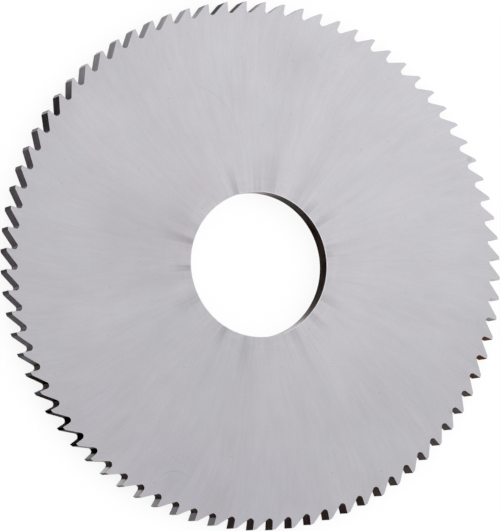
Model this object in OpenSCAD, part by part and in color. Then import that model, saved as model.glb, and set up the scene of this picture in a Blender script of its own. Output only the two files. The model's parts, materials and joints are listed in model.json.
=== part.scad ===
// Metal slitting saw: one flat disc of high-speed steel with fine teeth and a plain arbor bore.
// It lies on its lower side. +Z is the arbor axis, and the origin is on that axis in the plane
// of the lower rim. Seen from +Z the teeth point clockwise, and one tooth tip lies on +X.

/* [Blade] */
// Diameter over the tooth tips
outer_d = 80; // [63:1:125]
// Width of the cut: the thickness across the teeth
cut_width = 3; // [1:0.1:6]

/* [Arbor bore] */
// Diameter of the arbor bore
bore_d = 22; // [10:0.5:30]
// Edge break at 45 degrees on both ends of the bore
bore_chamfer = 0.1; // [0.05:0.05:0.3]

/* [Hollow ground sides] */
// Diameter of the flat hub that the arbor flanges clamp
hub_d = 36; // [32:1:50]
// How far each side lies below the rim at the hub
side_relief = 0.05; // [0.01:0.01:0.15]
// Width of the flat rim inside the tooth roots
rim_width = 1.5; // [0.5:0.1:4]

/* [Teeth] */
// Number of teeth
tooth_count = 80; // [48:4:100]
// Radial depth from a tooth tip to the bottom of its gullet
tooth_depth = 1.75; // [1.2:0.05:2.5]
// Rake angle of the cutting face, measured from the radius
rake_deg = 6; // [0:1:15]
// Radius of the round gullet
gullet_r = 0.5; // [0.3:0.05:0.7]
// Width of the relieved land behind each cutting edge
land_width = 0.5; // [0.2:0.05:0.8]
// Relief angle of that land, measured from the tangent at the tip
land_relief_deg = 9; // [5:1:15]

/* [Hidden] */
$fn = 96;

// Overrun of the cutting tools past the steel
overrun = 1;
// Overrun of the land's cut past its own tip, which clears the blank's rim
land_overrun = 4;
// Stock left on the blank's rim, which sharpening takes off
rim_stock = 0.25;
// How far the gullet's round floor bites into the rake face and the back that it joins
floor_bite = 0.005;

tip_r = outer_d / 2;
root_r = tip_r - tooth_depth;
blank_r = tip_r + rim_stock;
rim_inner_r = root_r - rim_width;
hub_r = hub_d / 2;
bore_r = bore_d / 2;
hub_low = side_relief;
hub_high = cut_width - side_relief;
pitch_deg = 360 / tooth_count;
blend_r = gullet_r - floor_bite;

function polar(radius, angle) = radius * [cos(angle), sin(angle)];

// One gullet, with its own tooth's tip on +X and the tooth before it one pitch clockwise
tip = polar(tip_r, 0);
tip_before = polar(tip_r, -pitch_deg);

// The rake face runs inwards from the tip and blends into the gullet's round floor
rake_inwards = polar(1, 180 - rake_deg);
rake_outwards = -rake_inwards;
rake_normal = polar(1, -90 - rake_deg);
gullet_start = tip + blend_r * rake_normal;
gullet_reach = gullet_start * rake_inwards;
gullet_axis_r = root_r + gullet_r;
rake_length = -gullet_reach
    - sqrt(gullet_reach * gullet_reach - gullet_start * gullet_start + gullet_axis_r * gullet_axis_r);
rake_foot = tip + rake_length * rake_inwards;
gullet_centre = rake_foot + blend_r * rake_normal;

// The land falls away behind the tooth before, and its back runs on from the land's heel
land_backwards = polar(1, 90 + land_relief_deg - pitch_deg);
heel = tip_before + land_width * land_backwards;
to_heel = heel - gullet_centre;
back_foot_angle = atan2(to_heel[1], to_heel[0]) - acos(blend_r / norm(to_heel));
back_foot = gullet_centre + polar(blend_r, back_foot_angle);

// Turned and ground disc: flat rim, hollow ground sides, flat hub and bore with broken edges
module ground_blank() {
    rotate_extrude()
        polygon([
            [bore_r + bore_chamfer, hub_low],
            [hub_r, hub_low],
            [rim_inner_r, 0],
            [blank_r, 0],
            [blank_r, cut_width],
            [rim_inner_r, cut_width],
            [hub_r, hub_high],
            [bore_r + bore_chamfer, hub_high],
            [bore_r, hub_high - bore_chamfer],
            [bore_r, hub_low + bore_chamfer]
        ]);
}

// Section of the grinding wheel's cut for one gullet: rake face, round floor, back and land
module gullet_section() {
    polygon([
        tip_before - land_overrun * land_backwards,
        heel,
        back_foot,
        gullet_centre,
        rake_foot,
        tip + overrun * rake_outwards
    ]);
    translate(gullet_centre)
        circle(r = gullet_r);
}

module gullets() {
    for (tooth = [0 : tooth_count - 1])
        rotate(tooth * pitch_deg)
            translate([0, 0, -overrun])
                linear_extrude(cut_width + 2 * overrun)
                    gullet_section();
}

module slitting_saw() {
    color([0.78, 0.77, 0.80])
        difference() {
            ground_blank();
            gullets();
        }
}

slitting_saw();
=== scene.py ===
"""Looks of the slitting saw: its fine mesh, its ground steel, and a plain pale stage."""

import json
import math

import bpy
import numpy as np
from mathutils import Euler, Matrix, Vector


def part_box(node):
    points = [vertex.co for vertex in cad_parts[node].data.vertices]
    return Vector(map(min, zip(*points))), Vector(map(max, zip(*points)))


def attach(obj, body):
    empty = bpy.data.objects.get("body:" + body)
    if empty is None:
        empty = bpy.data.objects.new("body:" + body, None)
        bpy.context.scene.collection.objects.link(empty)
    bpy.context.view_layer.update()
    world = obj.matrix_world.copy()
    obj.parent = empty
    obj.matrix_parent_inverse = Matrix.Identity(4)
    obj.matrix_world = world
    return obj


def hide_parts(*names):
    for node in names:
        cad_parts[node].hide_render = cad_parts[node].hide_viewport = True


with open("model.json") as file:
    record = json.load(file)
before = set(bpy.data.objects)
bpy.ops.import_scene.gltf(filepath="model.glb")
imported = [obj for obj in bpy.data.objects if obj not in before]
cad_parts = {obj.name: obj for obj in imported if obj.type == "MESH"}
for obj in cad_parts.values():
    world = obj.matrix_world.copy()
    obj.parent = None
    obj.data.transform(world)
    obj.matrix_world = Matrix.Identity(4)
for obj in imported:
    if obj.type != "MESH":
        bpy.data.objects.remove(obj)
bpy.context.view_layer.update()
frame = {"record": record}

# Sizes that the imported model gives, in metres
MM = 0.001
NODE = "slitting_saw"
box_low, box_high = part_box(NODE)
mounts = {mount["name"]: mount for mount in frame["record"]["mounts"]}
TIP_R = (box_high.x - box_low.x) / 2
WIDTH = box_high.z - box_low.z
BORE_R = mounts["arbor_bore"]["dims"]["r_mm"] * MM
BORE_WALL = mounts["arbor_bore"]["dims"]["length_mm"] * MM
HUB_HIGH = mounts["upper_clamp_face"]["pos_m"][2]
HUB_LOW = mounts["lower_clamp_face"]["pos_m"][2]
BORE_CHAMFER = (HUB_HIGH - HUB_LOW - BORE_WALL) / 2

# Sizes of the sides and the teeth, as in the part's source
HUB_R = 18 * MM
RIM_WIDTH = 1.5 * MM
TOOTH_COUNT = 80
TOOTH_DEPTH = 1.75 * MM
RAKE_DEG = 6
GULLET_R = 0.5 * MM
LAND_WIDTH = 0.5 * MM
LAND_RELIEF_DEG = 9
ROOT_R = TIP_R - TOOTH_DEPTH
RIM_R = ROOT_R - RIM_WIDTH
PITCH_DEG = 360 / TOOTH_COUNT

# Fineness of the mesh
GULLET_STEPS = 12
# Steps of the gullet's floor that still have the finish of the back they run on from
BACK_STEPS = 3
EDGE_BREAK = 0.02 * MM
# The circles' points lie this far anticlockwise of the teeth's, so that the faces between stay in the steel
LEAN_DEG = 1.2
# Faces that meet at more than this angle meet in a sharp edge
SHARP_DEG = 25


def srgb(*levels):
    """A linear colour from display levels of 0 to 255, by the sRGB curve."""
    shares = [level / 255 for level in levels]
    return tuple(s / 12.92 if s <= 0.04045 else ((s + 0.055) / 1.055) ** 2.4 for s in shares)


def cos_deg(degrees):
    return math.cos(math.radians(degrees))


def polar(radius, degrees):
    """A point of the plane as a complex number."""
    return radius * np.exp(1j * np.radians(degrees))


def dot(a, b):
    return (a * np.conj(b)).real


# The disc's mesh


def tooth_pitch():
    """One pitch of the rim, from the tip before +X to the tip on +X.

    It gives the points, and the part of the tooth that starts at each.
    """
    tip = polar(TIP_R, 0)
    tip_before = polar(TIP_R, -PITCH_DEG)
    inwards = polar(1, 180 - RAKE_DEG)
    off_rake = polar(1, -90 - RAKE_DEG)
    start = tip + GULLET_R * off_rake
    reach = dot(start, inwards)
    length = -reach - math.sqrt(reach**2 - abs(start) ** 2 + (ROOT_R + GULLET_R) ** 2)
    centre = start + length * inwards
    heel = tip_before + polar(LAND_WIDTH, 90 + LAND_RELIEF_DEG - PITCH_DEG)
    to_heel = heel - centre
    first = np.degrees(np.angle(to_heel) - math.acos(GULLET_R / abs(to_heel))) % 360
    floor = centre + polar(GULLET_R, np.linspace(first, 90 - RAKE_DEG, GULLET_STEPS + 1))
    floor_parts = ["back"] * BACK_STEPS + ["gullet"] * (GULLET_STEPS - BACK_STEPS)
    return np.array([tip_before, heel, *floor]), ["land", "back", *floor_parts, "rake"]


def inset(points, depth):
    """A closed outline moved into the steel, which lies on its left."""
    ahead = np.roll(points, -1) - points
    left = 1j * ahead / abs(ahead)
    left_before = np.roll(left, 1)
    return points + depth * (left + left_before) / (1 + dot(left, left_before))


def blade_rings():
    """The closed section's rings: up the bore, over the upper side, down the rim and back.

    Each has its points, its height and the kind of face that joins it to the next ring. The parts of the
    teeth come with them, one for each point of a ring.
    """
    pitch, parts = tooth_pitch()
    turns = polar(1, PITCH_DEG * np.arange(TOOTH_COUNT))
    rim = (turns[:, None] * pitch[None, :]).ravel()
    columns = (np.arange(len(rim)) / len(pitch) - 1) * PITCH_DEG + LEAN_DEG
    circle = polar(1, columns)
    inner_rim = inset(rim, EDGE_BREAK)
    rings = [
        (circle * BORE_R, HUB_LOW + BORE_CHAMFER, "bore"),
        (circle * BORE_R, HUB_HIGH - BORE_CHAMFER, "edge"),
        (circle * (BORE_R + BORE_CHAMFER), HUB_HIGH, "side"),
        (circle * HUB_R, HUB_HIGH, "side"),
        (circle * RIM_R, WIDTH, "side"),
        (inner_rim, WIDTH, "edge"),
        (rim, WIDTH - EDGE_BREAK, "teeth"),
        (rim, EDGE_BREAK, "edge"),
        (inner_rim, 0, "side"),
        (circle * RIM_R, 0, "side"),
        (circle * HUB_R, HUB_LOW, "side"),
        (circle * (BORE_R + BORE_CHAMFER), HUB_LOW, "edge"),
    ]
    return rings, parts * TOOTH_COUNT


def blade_faces(rings, parts):
    """The faces from each ring to the next, and the finish of each."""
    count = len(parts)
    faces, finishes = [], []
    for row, (_, _, kind) in enumerate(rings):
        above = (row + 1) % len(rings)
        for column in range(count):
            beside = (column + 1) % count
            faces.append((row * count + column, row * count + beside,
                          above * count + beside, above * count + column))
            finishes.append(parts[column] if kind == "teeth" else kind)
    return faces, finishes


def build_blade(materials):
    """The disc as one closed mesh, with a finish for each face."""
    rings, parts = blade_rings()
    points = [(p.real, p.imag, z) for ring, z, _ in rings for p in ring]
    faces, finishes = blade_faces(rings, parts)
    mesh = bpy.data.meshes.new("saw_blade")
    mesh.from_pydata(points, [], faces)
    names = list(materials)
    for name in names:
        mesh.materials.append(materials[name])
    mesh.polygons.foreach_set("material_index", [names.index(finish) for finish in finishes])
    mesh.polygons.foreach_set("use_smooth", [True] * len(faces))
    mesh.set_sharp_from_angle(angle=math.radians(SHARP_DEG))
    mesh.validate()
    mesh.update()
    blade = bpy.data.objects.new("saw_blade", mesh)
    bpy.context.scene.collection.objects.link(blade)
    weighted = blade.modifiers.new("flat faces stay flat", "WEIGHTED_NORMAL")
    weighted.keep_sharp = True
    return blade


# Materials


class Tree:
    """A material's nodes, with short ways to add the kinds that the materials here use."""

    def __init__(self, name):
        self.material = bpy.data.materials.new(name)
        self.material.use_nodes = True
        self.nodes = self.material.node_tree.nodes
        self.links = self.material.node_tree.links
        self.shader = self.nodes["Principled BSDF"]

    def put(self, socket, value):
        """Link a socket to another, or set its constant value."""
        if isinstance(value, bpy.types.NodeSocket):
            self.links.new(value, socket)
        else:
            socket.default_value = value

    def add(self, kind, *values, **settings):
        """A new node, with values for its first sockets."""
        node = self.nodes.new(kind)
        for name, value in settings.items():
            setattr(node, name, value)
        for socket, value in zip(node.inputs, values):
            self.put(socket, value)
        return node

    def math(self, operation, *values, clamp=False):
        return self.add("ShaderNodeMath", *values, operation=operation, use_clamp=clamp).outputs[0]

    def vector(self, operation, *values):
        node = self.add("ShaderNodeVectorMath", *values, operation=operation)
        return node.outputs["Value" if operation in ("LENGTH", "DISTANCE", "DOT_PRODUCT") else "Vector"]

    def combine(self, x, y, z):
        return self.add("ShaderNodeCombineXYZ", x, y, z).outputs[0]

    def share(self, value, start, end, **settings):
        """How far a value is from start to end: 0 at start and before it, 1 at end and past it."""
        return self.add("ShaderNodeMapRange", value, start, end, 0.0, 1.0, **settings).outputs[0]

    def smooth(self, value, start, end):
        """The same share, with soft ends."""
        return self.share(value, start, end, interpolation_type="SMOOTHSTEP")

    def noise(self, vector, detail=2.0, roughness=0.5):
        """Noise from about -0.5 to 0.5, with one cell to a unit of the vector."""
        node = self.add("ShaderNodeTexNoise")
        self.put(node.inputs["Vector"], vector)
        self.put(node.inputs["Scale"], 1.0)
        self.put(node.inputs["Detail"], detail)
        self.put(node.inputs["Roughness"], roughness)
        return self.math("SUBTRACT", node.outputs["Fac"], 0.5)

    def ramp(self, value, stops):
        """A colour from pairs of a place from 0 to 1 and a linear colour."""
        node = self.add("ShaderNodeValToRGB", value)
        while len(node.color_ramp.elements) < len(stops):
            node.color_ramp.elements.new(1.0)
        for element, (position, colour) in zip(node.color_ramp.elements, stops):
            element.position = position
            element.color = (*colour, 1.0)
        return node.outputs[0]

    def scaled(self, colour, factor):
        node = self.add("ShaderNodeVectorMath", colour, operation="SCALE")
        self.put(node.inputs["Scale"], factor)
        return node.outputs[0]

    def blend(self, colour, other, amount):
        """The first colour where the amount is 0 and the other where it is 1."""
        kept = self.scaled(colour, self.math("SUBTRACT", 1.0, amount))
        return self.vector("ADD", kept, self.scaled(other, amount))

    def total(self, values):
        result = values[0]
        for value in values[1:]:
            result = self.math("ADD", result, value)
        return result

    def weighted(self, changes):
        """The sum of pairs of an amount and what it is multiplied by."""
        return self.total([self.math("MULTIPLY", amount, change) for amount, change in changes])

    def place_mm(self):
        """A point's place on the part in millimetres."""
        here = self.add("ShaderNodeTexCoord").outputs["Object"]
        return self.scaled(here, 1 / MM)

    def metal(self, roughness):
        self.put(self.shader.inputs["Metallic"], 1.0)
        self.put(self.shader.inputs["Roughness"], roughness)


# The grinding lines run straight out to this radius in mm, then lean clockwise, by this angle at the tooth
# tips, more and more steeply by this power
SWIRL_START = 17.0
SWIRL_DEG = 3.5
SWIRL_POWER = 3.0
# The radii in mm between which the outer zone of the side begins and the bore's zone ends
OUTER_ZONE = (14.0, 26.0)
BORE_ZONE = (16.0, 11.0)
# How many cells apart the noise of the lower and the upper side lies, to a millimetre of height
SIDES_APART = 3.7
# The fine grinding lines are noise drawn out along the radius: its zone, cells to a radian, cells to a mm of
# radius, its seed and its detail; and how many display levels they change the side by
FINE_LINES = [
    ("inner", 70.0, 0.25, 20.0, 1.0),
    ("outer", 150.0, 0.35, 0.0, 1.0),
]
LINE_LEVELS = 9.2
# The patches that make the lines stronger and weaker: cells to a mm, and how strongly
PATCH_CELLS = 0.12
PATCH_STRENGTH = 2.4
# The streaks within the marks at the bore, in the same terms as the lines, and how strong they are
STREAKS = ("all", 60.0, 0.15, 120.0, 1.0)
STREAK_STRENGTH = 2.2
# Broader rays, in the same terms, and how many display levels each changes the side by
RAYS = [
    ("all", 26.0, 0.15, 40.0, 1.0, 6.2),
    ("all", 10.0, 0.1, 60.0, 1.0, 4.5),
    ("all", 4.0, 0.06, 80.0, 2.0, 4.0),
    ("bore", 30.0, 0.12, 100.0, 1.0, 13.0),
    ("bore", 4.0, 1.1, 160.0, 1.0, 14.0),
    ("outer", 38.0, 0.15, 140.0, 1.0, 4.0),
]
# Mottling: cells to a mm, detail and roughness of the noise, and how many display levels it changes the
# side by
MOTTLING = [
    (0.09, 3.0, 0.6, 7.5),
    (0.5, 1.0, 0.5, 3.4),
    (3.0, 1.0, 0.5, 7.2),
]
# Streaky marks that the grinding left from the bore outwards: place and half width in degrees, length in mm,
# and how many display levels darker they are
BORE_MARKS = [
    (11, 3, 2.5, 8),
    (15, 3.5, 8, 6),
    (36, 3.5, 5.5, 13),
    (49, 4, 3.5, 14),
    (62, 5, 5, 4),
    (82, 4.5, 7, 8),
    (93, 4, 5, 9),
    (111, 3.2, 6, 13),
    (154.5, 4.5, 8, 5),
    (166, 3.5, 7, 18),
    (186, 3, 4.5, 18),
    (209, 7, 7, 8),
    (242, 3.5, 4, 12),
    (261, 4.2, 8, 12),
    (300, 4, 9, 4),
    (320, 4, 5, 9),
    (337.5, 4, 4.5, 10),
]
# Broad faint rays that run further out, in the same terms; the ones below zero are lighter. They are painted
# sheen: the light and dark fans that the radial grinding throws
BROAD_SHEEN_RAYS = [
    (60, 9, 26, 2),
    (83, 8, 30, 2.5),
    (191, 6, 26, 2),
    (244, 7, 26, 2.5),
    (265, 8, 28, 3),
    (300, 6, 24, 2.5),
    (317, 9, 28, 2),
    (27, 11, 30, -2),
    (72, 9, 30, -2.3),
    (147, 10, 30, -2.5),
    (201, 7, 30, -2.5),
    (276, 10, 30, -1.9),
]
# Faint stains on the upper side: middle and radius in mm, and by how many display levels they change the
# red, the green and the blue; the ones above zero are lighter
STAINS = [
    (-13, 7, 7.5, (-5.4, -6, -6)),
    (-17, 3, 13, (-3.9, -4.1, -4)),
    (-23, 6, 8, (-4, -4.6, -4.2)),
    (-9.5, 11.5, 4, (0, -2, -2)),
    (2, 14.5, 4.5, (-1, -2.5, -2.5)),
    (-11.6, 2.8, 1.3, (0, -4, -7)),
    (11.5, -14, 11, (4.5, 4.5, 4.5)),
    (-12, -34, 12, (-4, -5, -2.5)),
    (2, -37, 13, (-2.5, -3.5, -0.5)),
    (-4, -26, 3, (-2, -3, -2.5)),
    (-24, -24, 16, (-1, -2, -1)),
    (18, 33, 9, (-3, -3, -3)),
    (14, 28, 14, (-2, -2, -2.5)),
    (4.5, 31, 5, (-2, -3, -2.5)),
    (-33, 9, 16, (4, 4, 4)),
    (-27, 21, 10, (3, 3, 3)),
    (-26.5, -10, 6.5, (4, 4, 4)),
    (-5.5, -36.5, 6, (-5, -5, -6)),
    (5, 31, 9, (-3, -3, -3)),
    (23, 19, 10, (-3, -3, -3)),
    (33, 1, 10, (2.5, 2.5, 2.5)),
    (34.4, 18.4, 0.7, (-14, -15, -15)),
]
# Thin scratches on the upper side: the middle and radius in mm of the arc that each follows, the place of
# its own middle on that arc and its half length in degrees, and how many display levels darker it is
SCRATCHES = [
    (-12.1, 18.4, 7.95, 50, 42, 8),
    (-12.7, -35.1, 3.4, 88, 53, 10),
    (-17.6, -36.2, 8.0, 51, 8, 7),
    (-33.0, 2.0, 14.0, 300, 12, 4),
    (14.0, 40.0, 9.0, 250, 25, 4),
    (28.7, 12.0, 6.0, 0, 9, 8),
    (17.9, 8.6, 6.0, 0, 5, 8),
]
SCRATCH_HALF_WIDTH = 0.12
# Specks: how many mm apart their cells lie, which share of the cells has one, its radius in mm, and how many
# display levels darker it is
SPECK_CELL = 4.0
SPECK_SHARE = 0.2
SPECK_RADIUS = 0.16
SPECK_DARKER = 24
# The side's own display level, and how far its red, green and blue lie from it
SIDE_LEVEL = 183.5
STEEL_TINT = (-0.8, -2.2, 2.8)
# The side turns warmer from this many levels below its own: how much to a level, in red, green and blue
WARM_BELOW = 7
WARM_TINT = (0.06, -0.024, -0.03)
# Display levels at the ends of the side's colour ramp, and how many colours it has
RAMP_LOW, RAMP_HIGH = 120, 220
RAMP_STOPS = 5
# The share of a side's brightness that one display level is
ONE_LEVEL = 0.012
# The noise of the steel's hue: cells to a mm, detail and roughness, and by how many display levels it drifts
# to pink and back, in red, green and blue
HUE_NOISE = (0.16, 2.0, 0.6)
HUE_DRIFT = (2.0, -1.5, -1.0)
# Relief of the grinding lines, and the sheen that they draw out
LINE_BUMP = 0.05
LINE_DEPTH = 0.02 * MM
SIDE_ANISOTROPY = 0.3
SIDE_ROUGHNESS = 0.34


class SideTree(Tree):
    """The side's nodes, with its places and zones and the shapes of what marks it."""

    def __init__(self, name):
        super().__init__(name)
        self.here = self.place_mm()
        x, y, self.height = self.add("ShaderNodeSeparateXYZ", self.here).outputs
        self.flat = self.combine(x, y, 0.0)
        self.radius = self.vector("LENGTH", self.flat)
        self.outwards = self.vector("NORMALIZE", self.flat)
        self.leaning = self.lean()
        self.upper = self.smooth(self.height, 0.0, 1.0)
        outer = self.smooth(self.radius, *OUTER_ZONE)
        inner = self.math("SUBTRACT", 1.0, outer)
        bore = self.smooth(self.radius, *BORE_ZONE)
        self.zones = {"all": 1.0, "outer": outer, "inner": inner, "bore": bore}

    def lean(self):
        """The direction outwards, turned as the grinding lines lean."""
        along = self.share(self.radius, SWIRL_START, TIP_R / MM)
        swirl = self.math("MULTIPLY", self.math("POWER", along, SWIRL_POWER), math.radians(SWIRL_DEG))
        turn = self.add("ShaderNodeVectorRotate", rotation_type="Z_AXIS")
        self.put(turn.inputs["Vector"], self.outwards)
        self.put(turn.inputs["Angle"], swirl)
        return turn.outputs[0]

    def rays(self, zone, around, along, seed, detail):
        """Noise drawn out along the radius, in one zone."""
        lift = self.math("MULTIPLY_ADD", self.radius, along, seed)
        lift = self.math("MULTIPLY_ADD", self.height, SIDES_APART, lift)
        ray = self.vector("ADD", self.scaled(self.leaning, around), self.combine(0.0, 0.0, lift))
        return self.math("MULTIPLY", self.noise(ray, detail), self.zones[zone])

    def mottle(self, cells, *look):
        return self.noise(self.scaled(self.here, cells), *look)

    def facing(self, direction, place):
        """The cosine of the angle between a direction and a place in degrees."""
        middle = polar(1, place)
        return self.vector("DOT_PRODUCT", direction, (middle.real, middle.imag, 0.0))

    def mark(self, place, half_width, length):
        """Ray that fades from the bore outwards and to its sides."""
        across = self.smooth(self.facing(self.outwards, place), cos_deg(half_width), 1.0)
        reach = self.smooth(self.radius, BORE_R / MM + length, BORE_R / MM)
        return self.math("MULTIPLY", across, reach)

    def scratch(self, x_middle, y_middle, arc_radius, place, half_length):
        """Thin arc on the upper side, with faded ends."""
        away = self.vector("SUBTRACT", self.flat, (x_middle, y_middle, 0.0))
        off_line = self.math("ABSOLUTE", self.math("SUBTRACT", self.vector("LENGTH", away), arc_radius))
        along = self.facing(self.vector("NORMALIZE", away), place)
        ends = self.smooth(along, cos_deg(half_length), cos_deg(half_length / 2))
        line = self.smooth(off_line, SCRATCH_HALF_WIDTH, 0.0)
        return self.math("MULTIPLY", self.math("MULTIPLY", line, ends), self.upper)

    def tone_patch(self, x_middle, y_middle, stain_radius):
        """Round soft spot on the upper side."""
        away = self.vector("DISTANCE", self.flat, (x_middle, y_middle, 0.0))
        return self.math("MULTIPLY", self.smooth(away, stain_radius, 0.0), self.upper)

    def specks(self):
        """Dots in some cells of both sides."""
        cells = self.add("ShaderNodeTexVoronoi", voronoi_dimensions="2D")
        self.put(cells.inputs["Vector"], self.flat)
        self.put(cells.inputs["Scale"], 1 / SPECK_CELL)
        spot = self.smooth(cells.outputs["Distance"], SPECK_RADIUS / SPECK_CELL, 0.0)
        chance = self.add("ShaderNodeSeparateColor", cells.outputs["Color"]).outputs[0]
        return self.math("MULTIPLY", spot, self.math("LESS_THAN", chance, SPECK_SHARE))


def side_level(tree, lines):
    """The display level of the side, with all that makes it lighter or darker."""
    patchy = tree.math("MULTIPLY_ADD", tree.mottle(PATCH_CELLS), PATCH_STRENGTH, 1.0, clamp=True)
    streaks = tree.math("MULTIPLY_ADD", tree.rays(*STREAKS), STREAK_STRENGTH, 1.0)
    marks = tree.weighted([(tree.mark(*shape), -darker) for *shape, darker in BORE_MARKS])
    changes = [(tree.math("MULTIPLY", lines, patchy), LINE_LEVELS), (marks, streaks)]
    changes += [(tree.rays(*shape), change) for *shape, change in RAYS]
    changes += [(tree.mottle(*shape), change) for *shape, change in MOTTLING]
    # Broad rays of painted sheen, lighter and darker fans across the side
    changes += [(tree.mark(*shape), -darker) for *shape, darker in BROAD_SHEEN_RAYS]
    changes += [(tree.scratch(*shape), -darker) for *shape, darker in SCRATCHES]
    changes.append((tree.specks(), -SPECK_DARKER))
    return tree.math("ADD", tree.weighted(changes), SIDE_LEVEL)


def steel_colour(level):
    """The side's linear colour at a display level: cool, and a little warmer where it is darker."""
    below = max(0.0, SIDE_LEVEL - WARM_BELOW - level)
    return srgb(*(level + tint + below * warm for tint, warm in zip(STEEL_TINT, WARM_TINT)))


def side_colour(tree, level):
    """The side's colour, with the drift of its hue and its stains."""
    places = np.linspace(0, 1, RAMP_STOPS)
    colours = [steel_colour(stop) for stop in np.linspace(RAMP_LOW, RAMP_HIGH, RAMP_STOPS)]
    colour = tree.ramp(tree.share(level, RAMP_LOW, RAMP_HIGH), list(zip(places, colours)))
    changes = [(tree.mottle(*HUE_NOISE), HUE_DRIFT)]
    changes += [(tree.tone_patch(*shape), change) for *shape, change in STAINS]
    for amount, change in changes:
        drift = tree.scaled(tuple(ONE_LEVEL * part for part in change), amount)
        colour = tree.vector("MULTIPLY", colour, tree.vector("ADD", drift, (1.0, 1.0, 1.0)))
    return colour


def ground_side():
    """Bright side with fine radial grinding lines, faint rays, marks at the bore, stains and scratches."""
    tree = SideTree("ground_side")
    lines = tree.total([tree.rays(*look) for look in FINE_LINES])
    tree.put(tree.shader.inputs["Base Color"], side_colour(tree, side_level(tree, lines)))
    bump = tree.add("ShaderNodeBump")
    tree.put(bump.inputs["Strength"], LINE_BUMP)
    tree.put(bump.inputs["Distance"], LINE_DEPTH)
    tree.put(bump.inputs["Height"], lines)
    tree.put(tree.shader.inputs["Normal"], bump.outputs[0])
    tangent = tree.add("ShaderNodeTangent", direction_type="RADIAL", axis="Z")
    tree.put(tree.shader.inputs["Tangent"], tangent.outputs[0])
    tree.put(tree.shader.inputs["Anisotropic"], SIDE_ANISOTROPY)
    tree.metal(SIDE_ROUGHNESS)
    return tree.material


# The tooth walls and the bore's wall: the colour of the bare steel as display levels, and how many score
# lines it has to a millimetre and how deep they show
WALLS = {
    "land": ((189, 187, 191), 7.0, 0.3),
    "back": ((187, 185, 189), 7.0, 0.3),
    "gullet": ((196, 194, 198), 7.0, 0.3),
    "rake": ((212, 210, 214), 7.0, 0.3),
    "bore": ((216, 214, 218), 2.5, 0.7),
}
# Stretches of those walls with painted reflections, darker where the walls would mirror dark surroundings,
# the brown
# ones also a heat tint: the four places round the disc, in degrees, where the stretch begins, is full, fades
# and ends, its colour as display levels, and the gleam that it leaves
PAINTED_WALL_REFLECTIONS_AND_TINTS = {
    "land": [
        (103, 108, 115, 121, (120, 118, 121), 0.5),
        (131, 172, 268, 292, (60, 58, 60), 0.5),
        (211, 217, 226, 231, (34, 22, 14), 0.15),
    ],
    "back": [
        (87, 97, 102, 107, (58, 56, 58), 0.35),
        (98, 126, 232, 256, (132, 130, 133), 0.6),
        (136, 143, 232, 256, (79, 74, 79), 0.5),
        (142, 145, 150, 156, (26, 24, 26), 0.5),
        (204, 209, 222, 227, (66, 47, 33), 0.06),
    ],
    "gullet": [
        (128, 160, 346, 355, (116, 111, 115), 0.55),
        (188, 212, 346, 355, (52, 45, 44), 0.45),
        (215, 219, 227, 232, (36, 24, 16), 0.15),
    ],
    "rake": [
        (208, 213, 226, 232.5, (24, 14, 9), 0.0),
        (230, 256, 300, 310, (108, 106, 109), 0.6),
        (262, 266, 346, 357.5, (48, 42, 41), 0.45),
        (290, 318, 331, 337, (77, 69, 68), 0.5),
        (335, 341, 347, 351, (116, 85, 62), 0.3),
    ],
    "bore": [
        (300, 322, 440, 464, (124, 108, 109), 0.6),
        (308, 336, 430, 452, (34, 28, 26), 0.5),
    ],
}
# The gleam of the bare steel where it is seen along the wall
WALL_GLEAM = 0.65
WALL_ROUGHNESS = 0.28
# How much of its hue a painted stretch gives to the gleam: 0 is none and 1 is all
STRETCH_HUE = 0.1
# Cells of the score lines to a millimetre along the wall, cells of its blotches, and how deep those show
SCORE_CELLS = 0.3
BLOTCH_CELLS = 0.9
BLOTCH_DEPTH = 0.3


def ground_wall(name, levels, lines_per_mm, depth):
    """Wall of a tooth or of the bore, scored along its length, with soft dark stretches round the disc:
    painted reflections of dark surroundings, the brown ones also a heat tint.
    """
    tree = Tree("ground_" + name)
    here = tree.place_mm()
    x, y, _ = tree.add("ShaderNodeSeparateXYZ", here).outputs
    around = tree.math("DEGREES", tree.math("ARCTAN2", y, x))
    colour = srgb(*levels)
    gleam = (WALL_GLEAM, WALL_GLEAM, WALL_GLEAM)
    # Each stretch paints a darker reflection into the wall's colour, with a brown heat tint in some, and
    # dims its gleam
    for begin, full, fade, end, reflection_and_tint_levels, stretch_gleam in PAINTED_WALL_REFLECTIONS_AND_TINTS[name]:
        place = tree.math("WRAP", around, begin + 360, begin)
        reflection_and_tint_share = tree.math("MULTIPLY", tree.smooth(place, begin, full), tree.smooth(place, end, fade))
        tone_patch = srgb(*reflection_and_tint_levels)
        colour = tree.blend(colour, tone_patch, reflection_and_tint_share)
        tint = tuple(stretch_gleam * (part / max(tone_patch)) ** STRETCH_HUE for part in tone_patch)
        gleam = tree.blend(gleam, tint, reflection_and_tint_share)
    scored = tree.noise(tree.vector("MULTIPLY", here, (SCORE_CELLS, SCORE_CELLS, lines_per_mm)))
    blotched = tree.noise(tree.scaled(here, BLOTCH_CELLS))
    shade = tree.math("ADD", tree.weighted([(scored, depth), (blotched, BLOTCH_DEPTH)]), 1.0)
    tree.put(tree.shader.inputs["Base Color"], tree.scaled(colour, shade))
    tree.put(tree.shader.inputs["Specular Tint"], tree.scaled(gleam, shade))
    tree.metal(WALL_ROUGHNESS)
    return tree.material


# A broken edge's darkest and brightest colour as display levels, above the side's, which paints a highlight
# along the edge; with their places on its ramp, and the cells to a millimetre and the detail of the noise
# between them
EDGE_HIGHLIGHT_RAMP = [(0.3, (214, 213, 217)), (0.7, (238, 237, 241))]
EDGE_CELLS = 1.4
EDGE_DETAIL = 3.0
EDGE_ROUGHNESS = 0.32


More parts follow.
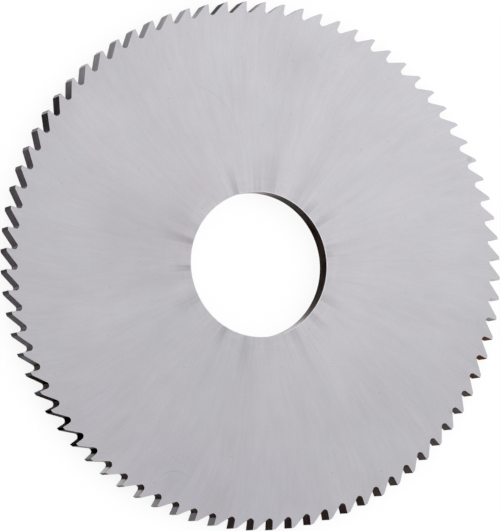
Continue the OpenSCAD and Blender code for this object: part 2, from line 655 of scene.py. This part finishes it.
def edge_highlight_line():
    """Bright line of a broken edge, with a painted highlight: its steel is brighter than the side's."""
    tree = Tree("edge_highlight_line")
    worn = tree.noise(tree.scaled(tree.place_mm(), EDGE_CELLS), EDGE_DETAIL)
    stops = [(place, srgb(*levels)) for place, levels in EDGE_HIGHLIGHT_RAMP]
    tree.put(tree.shader.inputs["Base Color"], tree.ramp(tree.math("ADD", worn, 0.5), stops))
    tree.metal(EDGE_ROUGHNESS)
    return tree.material


materials = {"side": ground_side(), "edge": edge_highlight_line()}
for name, look in WALLS.items():
    materials[name] = ground_wall(name, *look)

blade = build_blade(materials)
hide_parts(NODE)
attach(blade, "root")


# Stage

WHITE = (1.0, 1.0, 1.0, 1.0)
FLOOR_SIZE = 4.0
FLOOR_DROP = 0.02 * MM
# The floor's grey as it lights the saw, and its grey and its glow as it is seen
FLOOR_MATT = (0.86, 0.86, 0.86, 1.0)
FLOOR_SEEN = (0.2, 0.2, 0.2, 1.0)
FLOOR_GLOW = 0.85
# Strength of the world as it is seen, and as it lights a matt surface
BACKGROUND = 1.0
FILL = 0.8


def seen_directly(nodes, links):
    """1 for a ray from the camera, a mirror or a glass, and 0 for a ray that lights a matt surface."""
    path = nodes.new("ShaderNodeLightPath")
    result = path.outputs["Is Camera Ray"]
    for name in ("Is Glossy Ray", "Is Transmission Ray"):
        either = nodes.new("ShaderNodeMath")
        either.operation = "MAXIMUM"
        links.new(result, either.inputs[0])
        links.new(path.outputs[name], either.inputs[1])
        result = either.outputs[0]
    return result


def floor_material():
    """Pale and matt, and near white with the saw's shadow where it is seen."""
    tree = Tree("floor")
    tree.nodes.remove(tree.shader)
    matt = tree.add("ShaderNodeBsdfDiffuse", FLOOR_MATT).outputs[0]
    shaded = tree.add("ShaderNodeBsdfDiffuse", FLOOR_SEEN).outputs[0]
    glow = tree.add("ShaderNodeEmission", WHITE, FLOOR_GLOW).outputs[0]
    lifted = tree.add("ShaderNodeAddShader", shaded, glow).outputs[0]
    choice = tree.add("ShaderNodeMixShader", seen_directly(tree.nodes, tree.links), matt, lifted)
    tree.put(tree.nodes["Material Output"].inputs["Surface"], choice.outputs[0])
    return tree.material


def lay_floor():
    """Plain floor just under the saw, which keeps its shadow."""
    half = FLOOR_SIZE / 2
    corners = [(-half, -half), (half, -half), (half, half), (-half, half)]
    mesh = bpy.data.meshes.new("floor")
    mesh.from_pydata([(x, y, -FLOOR_DROP) for x, y in corners], [], [(0, 1, 2, 3)])
    mesh.materials.append(floor_material())
    floor = bpy.data.objects.new("floor", mesh)
    bpy.context.scene.collection.objects.link(floor)


def light_world():
    """Even white light from all round."""
    world = bpy.data.worlds.new("studio")
    world.use_nodes = True
    nodes, links = world.node_tree.nodes, world.node_tree.links
    strength = nodes.new("ShaderNodeMapRange")
    strength.inputs["To Min"].default_value = FILL
    strength.inputs["To Max"].default_value = BACKGROUND
    links.new(seen_directly(nodes, links), strength.inputs["Value"])
    links.new(strength.outputs[0], nodes["Background"].inputs["Strength"])
    nodes["Background"].inputs["Color"].default_value = WHITE
    bpy.context.scene.world = world


# Where the softbox shows in the upper side as in a mirror, and the direction and distance that it hangs at
SOFTBOX_IMAGE = Vector((0.026, 0.049, WIDTH))
SOFTBOX_DIRECTION = Vector((0.367, 0.092, 0.925)).normalized()
SOFTBOX_DISTANCE = 0.22
SOFTBOX_SIZE = 0.08
SOFTBOX_POWER = 0.014


def hang_softbox():
    """Soft light over the right, which the side of the saw shows as a brighter half."""
    lamp = bpy.data.lights.new("softbox", "AREA")
    lamp.shape = "SQUARE"
    lamp.size = SOFTBOX_SIZE
    lamp.energy = SOFTBOX_POWER
    softbox = bpy.data.objects.new("softbox", lamp)
    softbox.location = SOFTBOX_IMAGE + SOFTBOX_DIRECTION * SOFTBOX_DISTANCE
    softbox.rotation_euler = SOFTBOX_DIRECTION.to_track_quat("Z", "Y").to_euler()
    bpy.context.scene.collection.objects.link(softbox)


# The camera looks down on the saw, nodding and leaning to the left of straight down
CAMERA_TURN = Euler([math.radians(a) for a in (5.259, -21.554, 1.540)])
CAMERA_DISTANCE = 561.5 * MM
CAMERA_CLIP_START = 0.01
# Where the middle of the upper side lies from the middle of the picture, to the right and up
MIDDLE_RIGHT = 1.460 * MM
MIDDLE_UP = 0.203 * MM
LENS_MM = 252.68


def place_camera():
    """Camera on the line along which the photo looks at the saw."""
    data = bpy.data.cameras.new("camera")
    data.lens = LENS_MM
    data.clip_start = CAMERA_CLIP_START
    camera = bpy.data.objects.new("camera", data)
    camera.rotation_euler = CAMERA_TURN
    middle = Vector((MIDDLE_RIGHT, MIDDLE_UP, -CAMERA_DISTANCE))
    camera.location = Vector((0, 0, WIDTH)) - CAMERA_TURN.to_matrix() @ middle
    bpy.context.scene.collection.objects.link(camera)
    bpy.context.scene.camera = camera


lay_floor()
light_world()
hang_softbox()
place_camera()
bpy.context.scene.view_settings.view_transform = "Standard"
